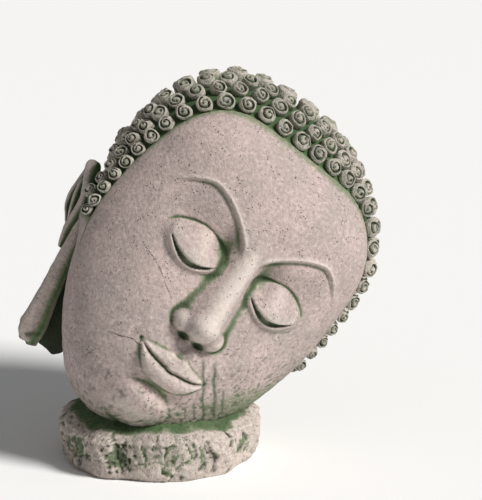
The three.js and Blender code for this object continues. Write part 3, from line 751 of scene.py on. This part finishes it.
def snail_curls(places, sizes, tilts, fullness, sides, rows, random):
    """Curls as polar grids, from the middle of the top out to the rim and down a barrel-shaped side. A deep
    groove starts inside the rim and winds in to a pit, by a set share of the radius each turn, with a thin
    wall outside it and a domed bud within. Fullness scales the breadth; sides and rows count the grid's
    columns and rings."""
    n = len(places)
    t = np.linspace(0, 1, rows + 1)[1:]
    arc = np.clip(t / TOP_SHARE, 0, 1) * math.pi / 2
    down = np.clip((t - TOP_SHARE) / (1 - TOP_SHARE), 0, 1)
    share = np.sin(arc) ** 0.85 * (1 + 0.05 * np.sin(math.pi * down) - 0.20 * down)
    level = RIM_LEVEL + np.where(down > 0, -1.08 * down, (1 - RIM_LEVEL) * np.cos(arc) ** 0.9)
    share, level, down = share[None, :, None], level[None, :, None], down[None, :, None]
    turn = np.arange(sides) / sides * 2 * math.pi + np.zeros((n, rows, sides))
    groove, wall = 0 * turn, 0 * turn
    for lap in (0, 1):
        run = turn / (2 * math.pi) + lap
        line = GROOVE_START - GROOVE_WIND * run
        width = 0.06 + 0.10 * np.sin(math.pi * np.clip(run / 0.95, 0, 1)) ** 2
        fade = ramp(line, GROOVE_END - 0.04, GROOVE_END + 0.06) * (down == 0)
        groove = np.maximum(groove, bell((share - line) / width) * fade)
        wall = np.maximum(wall, bell((share - line - width - 0.06) / 0.06) * fade)
    stop = 2 * math.pi * (GROOVE_START - GROOVE_END) / GROOVE_WIND
    pit_x = share * np.cos(turn) - GROOVE_END * math.cos(stop)
    pit_y = share * np.sin(turn) - GROOVE_END * math.sin(stop)
    pit = bell(np.hypot(pit_x, pit_y) / 0.15) * (down == 0)
    height = CURL_HEIGHT * (1 + 0.10 * random.uniform(-1, 1, (n, 1, 1)))
    swell = 1 + 0.07 * random.uniform(-1, 1, (n, 1, 1))
    breadth = (fullness * CURL_RADIUS * sizes)[:, None, None] * swell
    spin = random.uniform(0, 2 * math.pi, (n, 1, 1))
    radius = breadth * share * (1 + 0.06 * np.cos(2 * turn + 2 * spin))
    sink = np.maximum(4.2 * groove, 3.6 * pit) - 0.9 * wall
    x, y = radius * np.cos(turn + spin), radius * np.sin(turn + spin)
    local = np.stack([x, y, height * level - sink], -1)
    middle = np.concatenate([np.zeros((n, 2)), height[:, 0]], -1)
    foot = np.stack([np.zeros(n), np.zeros(n), np.full(n, -0.6 * CURL_HEIGHT)], -1)
    normal = unit(skull_normals(places) * (1 - tilts[:, None]) + np.array([0, -1.0, 0]) * tilts[:, None])
    first = unit(np.cross(normal, [0.3, 1, 0.2]))
    frames = np.stack([first, np.cross(normal, first), normal], 1)
    grid = np.concatenate([local[:, ::-1].reshape(n, -1, 3), foot[:, None], middle[:, None]], 1)
    roots = places - SCALP_STEP * skull_normals(places)
    points = np.einsum("nkc,ncd->nkd", grid, frames) + roots[:, None]
    first_index = np.arange(n)[:, None, None] * (rows * sides + 2)
    quads, triangles = (first_index + faces for faces in closed_grid_faces(rows, sides))

    def listed(field, at_foot):
        ends = np.broadcast_to([at_foot, 0], (n, 2))
        return np.concatenate([field[:, ::-1].reshape(n, -1), ends], 1).ravel()

    low = ramp(down + 0 * turn, 0.15, 0.9)
    rim = bell((share - 0.97) / 0.06) * (down < 0.2)
    masks = [listed(low, 1), listed(np.maximum(groove, pit), 0), listed(np.maximum(wall, rim), 0)]
    return points.reshape(-1, 3), quads.reshape(-1, 4), triangles.reshape(-1, 3), masks


def join_parts(parts):
    """Several closed parts as one list of points, faces and masks."""
    points, *faces, masks = zip(*parts)
    starts = np.concatenate([[0], np.cumsum([len(p) for p in points])[:-1]])
    quads, triangles = (np.concatenate([f + start for f, start in zip(kind, starts)]) for kind in faces)
    return np.concatenate(points), quads, triangles, [np.concatenate(column) for column in zip(*masks)]


places, sizes, tilts, rich = curl_places()
random = np.random.default_rng(7)
batches = [
    snail_curls(places[some], sizes[some], tilts[some], fullness, sides, rows, random)
    for some, fullness, sides, rows in ((rich, 0.91, 34, 20), (~rich, 0.84, 10, 6))
]
curl_points, quads, triangles, (curl_low, curl_dark, curl_wear_and_highlight) = join_parts(batches)
curl_points = lean(curl_points)
curl_points += 0.8 * noise_vectors(curl_points, 5.5, 5, 6, 7)
curl_points += 0.45 * noise_vectors(curl_points, 2.6, 15, 16, 17)
curl_masks = {
    "moss": 0.32 + 0.95 * curl_low + 0.40 * curl_dark,
    # Dirt and painted shade in the grooves and pits, and on the low sides of the curls next to the scalp.
    "dirt_and_shade": np.maximum(0.95 * curl_dark, 0.62 * ramp(curl_low, 0.45, 1)),
    # Paler rims and walls: worn stone, partly a painted highlight.
    "wear_and_highlight": 0.8 * curl_wear_and_highlight,
}
curls = make_piece("snail_curls", curl_points, quads, triangles, curl_masks)
CURL_STONE = weathered_stone("curl_stone", (0.50, 0.455, 0.395), (0.32, 0.305, 0.26), 0.0013)
curls.data.materials.append(CURL_STONE)
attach(curls, "root")
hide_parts("buddha_head")

# ---------------------------------------------------------------- ears and their long lobes
# Each ear is a leaf with a raised rim, a ridge within it and a hollow, cast with the head. Its lobe
# is a strap that hangs beside the jaw to a rounded end, with a web of stone behind it.
EAR_CENTRE = np.array([129.0, 34.0, -48.0])
EAR_SPLAY, EAR_SPREAD = np.radians([30.0, 10.0])
# The bands of the ear in its own plane, then the lobe and the web in the head's frame. Each station:
# height, place outwards, place to the rear, half-reach outwards and to the rear.
EAR_PLATE = [
    (-38, -2, -1, 2, 2), (-32, -3, 0, 5, 4), (-15, -6, 6, 8, 9), (0, -7, 10, 9, 14),
    (18, -7, 12, 9, 13), (38, -7, 20, 8, 9), (46, -6, 24, 4, 3),
]
EAR_FRONT_RIM = [
    (-45, 6, -5, 2, 1.5), (-41, 6, -4, 3.2, 3.2), (-27, 5, -0.5, 5.5, 4.5),
    (-12, 4, -1.5, 7, 5.2), (0, 4, -2.5, 7.5, 5.6), (10, 4, -1.5, 7.5, 6),
    (22, 4, 5, 7.5, 6.8), (33, 3, 14, 7, 7.5), (41, 2, 17, 7, 9), (45, 1, 18, 6, 8.5),
    (48, 1, 17, 4, 5.5), (49, 1, 17, 2, 3),
]
EAR_INNER_RIDGE = [
    (-27, 2, 1, 2, 1.2), (-20, 3, 3, 4, 2), (-12, 4, 6.5, 5, 2.6), (-1, 4, 10, 6, 3),
    (6, 4, 12.5, 6.5, 3.2), (21, 3, 17.5, 5.5, 3.2), (28, 1, 19, 3, 2),
]
EAR_REAR_RIM = [
    (-32, 1, 1, 2, 1.2), (-25, 1, 4, 4, 2.2), (-17, 1, 11, 5, 2.6), (-9, 1, 19.5, 5.5, 2.8),
    (0, 1, 23, 6, 3), (12, 1, 23.5, 6, 3), (26, 0, 23.5, 5.5, 3), (38, 0, 24, 4, 2.5),
]
BAND_STEP = 2.5  # between the rings of a band
BROKEN_FOOT, BROKEN_TOP = -180, -166  # the lobe's end is broken stone under these levels
LOBE_STATIONS = [
    (-188.5, 99, 8, 2, 2), (-188, 99, 8, 7, 6), (-184, 99.5, 8, 12, 10),
    (-176, 100.5, 8, 14.5, 12), (-164, 103, 7, 14, 12), (-145, 108, 5, 12, 10),
    (-109, 116.5, 4, 9.5, 9), (-77, 123, 4, 8.5, 8), (-57, 126, 5, 7.5, 7),
    (-51, 126, 6, 5, 4),
]
WEB_STATIONS = [
    (-182, 76, 18, 14, 3), (-173, 74, 20, 22, 6), (-121, 84, 24, 22, 6),
    (-73, 99, 22, 20, 5), (-61, 100, 22, 10, 3),
]


def cut_corners(stations, passes):
    """A smooth line from a few stations: each corner is cut at a quarter of its legs, many times."""
    line = np.array(stations, float)
    for _ in range(passes):
        legs = np.stack([0.75 * line[:-1] + 0.25 * line[1:], 0.25 * line[:-1] + 0.75 * line[1:]], 1)
        line = np.concatenate([line[:1], legs.reshape(-1, line.shape[1]), line[-1:]])
    return line


def ear_frame(points):
    """Points (outwards, rear, up) of the ear's own plane, put in the head's frame."""
    outward = np.array([math.cos(EAR_SPLAY), -math.sin(EAR_SPLAY), 0])
    back = np.array([math.sin(EAR_SPLAY), math.cos(EAR_SPLAY), 0])
    upward = np.array([0, 0, math.cos(EAR_SPREAD)]) + math.sin(EAR_SPREAD) * outward
    return EAR_CENTRE + points @ np.array([outward, back, upward])


def swept(line, sides, squareness):
    """A strap along a line of (height, out, back, half-breadth, half-thickness) stations, whose level
    sections are superellipses."""
    z, out, back, breadth, thickness = line.T[:, :, None]
    angle = np.arange(sides)[None] / sides * 2 * math.pi
    c, s = np.cos(angle), np.sin(angle)
    x = out + breadth * np.sign(c) * np.abs(c) ** squareness
    y = back + thickness * np.sign(s) * np.abs(s) ** squareness
    return np.stack([x, y, z + 0 * c], -1)


def closed_part(grid, foot, top, masks):
    """A closed grid with its two end points, its faces and its masks, given in the order of the grid."""
    rows, columns = grid.shape[:2]
    points = np.concatenate([grid.reshape(-1, 3), [foot, top]])
    quads, triangles = closed_grid_faces(rows, columns)
    masks = [with_ends(mask, mask[0].mean(), mask[-1].mean()) for mask in masks]
    return points, quads, triangles, masks


def strap(stations, sides, squareness, place, masks):
    """A closed strap along smoothed stations, put in its place. Each mask is a number, or comes from how
    far out (0 inner side to 1 outer) the points of the section lie."""
    line = cut_corners(stations, 3)
    steps = np.abs(np.diff(line[:, 0])) + np.abs(np.diff(line[:, 3]))
    run = np.concatenate([[0], np.cumsum(steps)])
    even = np.linspace(0, run[-1], max(12, round(run[-1] / BAND_STEP)))
    line = np.stack([np.interp(even, run, column) for column in line.T], -1)
    grid = swept(line, sides, squareness)
    outer = 0.5 + 0.5 * (grid[..., 0] - line[:, None, 1]) / line[:, None, 3]
    foot, top = place(grid[0].mean(0)), place(grid[-1].mean(0))
    masks = [mask(outer) if callable(mask) else mask + 0 * outer for mask in masks]
    return closed_part(place(grid), foot, top, masks)


def ear_parts():
    """The plate, the two rims and the ridge of one ear, its lobe and the web behind it, on the +X side.
    The masks of each strap are moss, dirt with painted shade, and worn edges with a painted highlight."""
    rim = [
        lambda outer: 0.30 + 0.70 * (1 - ramp(outer, 0.80, 0.99)),
        # Dirt and painted shade on the rim's inner side.
        lambda outer: 0.70 * (1 - ramp(outer, 0.03, 0.22)),
        # Paler outer edge: worn stone, partly a painted highlight.
        lambda outer: ramp(outer, 0.90, 1.0),
    ]
    # On the plate, dirt and painted shade over its outer half.
    plate = [0.85, lambda outer: 0.85 * ramp(outer, 0.4, 0.7), 0]
    lobe = [
        lambda outer: 0.32 + 0.72 * bell((outer - 0.28) / 0.17),
        # Dirt and painted shade on the lobe's inner side, by the jaw.
        lambda outer: 0.5 * (1 - ramp(outer, 0.0, 0.12)),
        # Paler outer side: worn stone, partly a painted highlight.
        lambda outer: 0.5 * ramp(outer, 0.45, 0.8),
    ]
    # The web behind the lobe: moss, and near-black dirt and painted shade in the gap by the jaw.
    web = [0.8, 0.95, 0]
    bands = (EAR_FRONT_RIM, EAR_INNER_RIDGE, EAR_REAR_RIM)
    parts = [strap(band, 24, 0.75, ear_frame, rim) for band in bands]
    parts.append(strap(EAR_PLATE, 28, 0.8, ear_frame, plate))
    parts.append(strap(LOBE_STATIONS, 40, 0.8, np.array, lobe))
    parts.append(strap(WEB_STATIONS, 24, 0.9, np.array, web))
    return join_parts(parts)


def mirrored(part):
    """The part on the other side, with its faces turned over."""
    points, quads, triangles, masks = part
    return points * [-1, 1, 1], quads[:, ::-1], triangles[:, ::-1], masks


one_ear = ear_parts()
ear_points, quads, triangles, (ear_moss, ear_dirt_and_shade, ear_wear_and_highlight) = join_parts([one_ear, mirrored(one_ear)])
broken = 1 - ramp(ear_points[:, 2], BROKEN_FOOT, BROKEN_TOP)
ear_points = lean(ear_points)
chips = noise_vectors(ear_points, 6.0, 21, 22, 23)
ear_points += (0.35 + 1.9 * broken)[:, None] * chips
ear_masks = {
    "moss": ear_moss,
    # On the broken end of the lobes, chip noise darkens some chips and pales others: dirt and painted
    # shade, wear and painted highlight.
    "dirt_and_shade": np.maximum(ear_dirt_and_shade, broken * np.clip(-1.6 * chips[:, 0], 0, 0.9)),
    "wear_and_highlight": np.maximum(ear_wear_and_highlight, broken * np.clip(1.2 * chips[:, 0], 0, 0.9)),
}
ears = make_piece("ears_and_lobes", ear_points, quads, triangles, ear_masks)
ears.data.materials.append(FACE_STONE)
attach(ears, "root")
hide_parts("buddha_head")

# ---------------------------------------------------------------- rough oval base
# The block under the jaw is part of the casting: an oval with broken sides, a chipped upper edge
# and a flat underside. Moss grows on its top and in its hollows.
BASE_HALF_X, BASE_HALF_Y, BASE_HEIGHT = 101.0, 104.0, 50.0
CHIPS = 170
# Each ring: share of the outline and share of the height.
BASE_RINGS = [
    (0.95, 0), (0.985, 0.08), (1.0, 0.25), (1.01, 0.6), (0.985, 0.84), (0.93, 0.93),
    (0.7, 1.12), (0.4, 1.28), (0.05, 1.3),
]


def base_outline(angle):
    """An oval with broken flats from three waves."""
    chips = 2.2 * np.sin(5 * angle + 0.7) + 1.6 * np.sin(9 * angle + 2.1) + 1.2 * np.sin(14 * angle)
    return (BASE_HALF_X + chips) * np.cos(angle), (BASE_HALF_Y + chips) * np.sin(angle)


def chip_facets(points):
    """Broken stone: each point belongs to the nearest of some scattered chips, and lies on that chip's own
    tilted plane. Also returns a bell over the joints between chips."""
    random = np.random.default_rng(51)
    angle = random.uniform(0, 2 * math.pi, CHIPS)
    x, y = base_outline(angle)
    share = random.uniform(0.9, 1.05, CHIPS)
    seeds = np.stack([x * share, y * share, random.uniform(-5, 60, CHIPS)], -1)
    warped = points + 2.5 * noise_vectors(points, 7.0, 36, 37, 38)
    near = np.linalg.norm(warped[:, None] - seeds[None], axis=-1)
    order = np.argpartition(near, 1, axis=1)[:, :2]
    two = np.take_along_axis(near, order, 1)
    chip = order[np.arange(len(points)), np.argmin(two, 1)]
    tilt = random.uniform(-0.16, 0.16, (CHIPS, 3))
    step = random.uniform(-0.9, 0.9, CHIPS)
    height = step[chip] + ((points - seeds[chip]) * tilt[chip]).sum(1)
    return height, bell((two.max(1) - two.min(1)) / 1.0)


# Hollows that moss has filled: place along the front, height, half-breadth, half-height, depth.
BASE_HOLLOWS = [
    (-38, 22, 15, 13, 4.0), (-82, 24, 12, 14, 3.0), (48, 22, 4, 20, 1.6),
    (88, 24, 6, 10, 1.5), (20, 26, 5, 5, 1.2), (12, 10, 6, 5, 1.2),
]


def base_hollows(points):
    """A rounded patch for each hollow of the front, ragged at its edge, and the depth that it sinks."""
    patch, depth = np.zeros((2, len(points)))
    ragged = 0.45 * lattice_noise(points, 6.0, 44) + 0.55 * lattice_noise(points, 2.6, 45)
    for across, height, breadth, rise, sink in BASE_HOLLOWS:
        far = np.hypot((points[:, 0] - across) / breadth, (points[:, 2] - height) / rise)
        inside = (1 - ramp(far + ragged, 0.35, 1.35)) * (points[:, 1] < FRONT_SIDE)
        patch = np.maximum(patch, inside)
        depth = np.maximum(depth, sink * inside)
    return patch, depth


def base_grid(sides, rows):
    """Rings from the edge of the underside up the side and in over the top, with rough stone on them:
    broad swells, tilted chips, noise in three sizes and scattered pits."""
    line = cut_corners(BASE_RINGS, 3)
    run = np.concatenate([[0], np.cumsum(np.hypot(*np.diff(line * [90, 50], axis=0).T))])
    even = np.linspace(0, run[-1], rows)
    share, level = (np.interp(even, run, column)[:, None] for column in line.T)
    angle = (np.arange(sides) / sides * 2 * math.pi)[None]
    x, y = base_outline(angle)
    rise = 1 + ramp(level, 0.3, 0.9) * (0.05 * np.sin(4 * angle + 1) + 0.02 * np.sin(11 * angle))
    points = np.stack([x * share, y * share, BASE_HEIGHT * level * rise], -1)
    flat = points.reshape(-1, 3)
    chipped, joints = chip_facets(flat)
    patch, depth = base_hollows(flat)
    pits = np.clip(lattice_noise(flat, 4.4, 35) - 0.42, 0, 1)
    ledge = np.clip(level + 0 * x, 0, 1.3).ravel()
    lip = 1.7 * bell((ledge - 0.80 - 0.05 * lattice_noise(flat, 20.0, 39)) / 0.035)
    broad = 1.5 * lattice_noise(flat, 26.0, 31) + chipped + 1.0 * lattice_noise(flat, 6.5, 33)
    grit = 1.3 * lattice_noise(flat, 3.4, 34) + 0.9 * lattice_noise(flat, 2.1, 40)
    fine = grit - 0.5 * joints - 3.0 * pits
    rough = broad + fine * (0.6 + 0.8 * patch) + lip - depth
    on_top = ramp(ledge + 0.05 * lattice_noise(flat, 11.0, 46), 0.90, 1.0)
    rough = rough * (1 - 0.55 * on_top)
    outward = unit(np.stack([x * share, y * share, 0 * x * share], -1))
    side = (1 - ramp(level, 0.9, 1.0))[..., None]
    outward = outward * side + np.array([0, 0, 0.8]) * (1 - side)
    lift = ramp(level, 0.0, 0.10)
    points = points + outward * (rough.reshape(lift.shape[0], -1) * lift - 0.8)[..., None]
    points[0, :, 2] = 0
    points[..., 2] = np.maximum(points[..., 2], 0)
    field = rough.reshape(points.shape[:2])
    proud = (field - soften(field, 8)).ravel()
    return points, level + 0 * x, proud, patch, on_top


grid, level, proud, patch, on_top = base_grid(460, 84)
base_points = np.concatenate([grid.reshape(-1, 3), [[0, 0, 0], [0, 0, BASE_HEIGHT * 1.3]]])
quads, triangles = closed_grid_faces(*level.shape)
cavity = with_ends(np.clip(-proud / 1.6, 0, 1), 0, 0)
crest = with_ends(np.clip((proud - 0.25) / 1.3, 0, 1), 0, 0)
patch, on_top = with_ends(patch, 0, 0), with_ends(on_top, 0, 1)
stains = ramp(lattice_noise(base_points, 26.0, 41), 0.0, 0.6)
growth = np.maximum(0.10 + 0.66 * patch, 0.10 + 0.50 * cavity + 0.26 * stains)
base_masks = {
    "moss": np.maximum(1.05 * on_top, growth),
    # Dirt and painted shade in the cavities of the rough stone.
    "dirt_and_shade": np.maximum(0.7 * ramp(cavity, 0.4, 1), 0.6 * patch * cavity),
    # Paler crests: worn stone, partly a painted highlight, less on the mossy top and in the hollows.
    "wear_and_highlight": crest * (1 - 0.8 * on_top) * (1 - 0.7 * patch),
    "drip": drip_mask(base_points) * (1 - on_top),
}
base = make_piece("rough_base", base_points, quads, triangles, base_masks)
BASE_STONE = weathered_stone("base_stone", (0.66, 0.565, 0.505), (0.49, 0.42, 0.37), 0.0024)
base.data.materials.append(BASE_STONE)
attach(base, "root")
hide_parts("buddha_head")
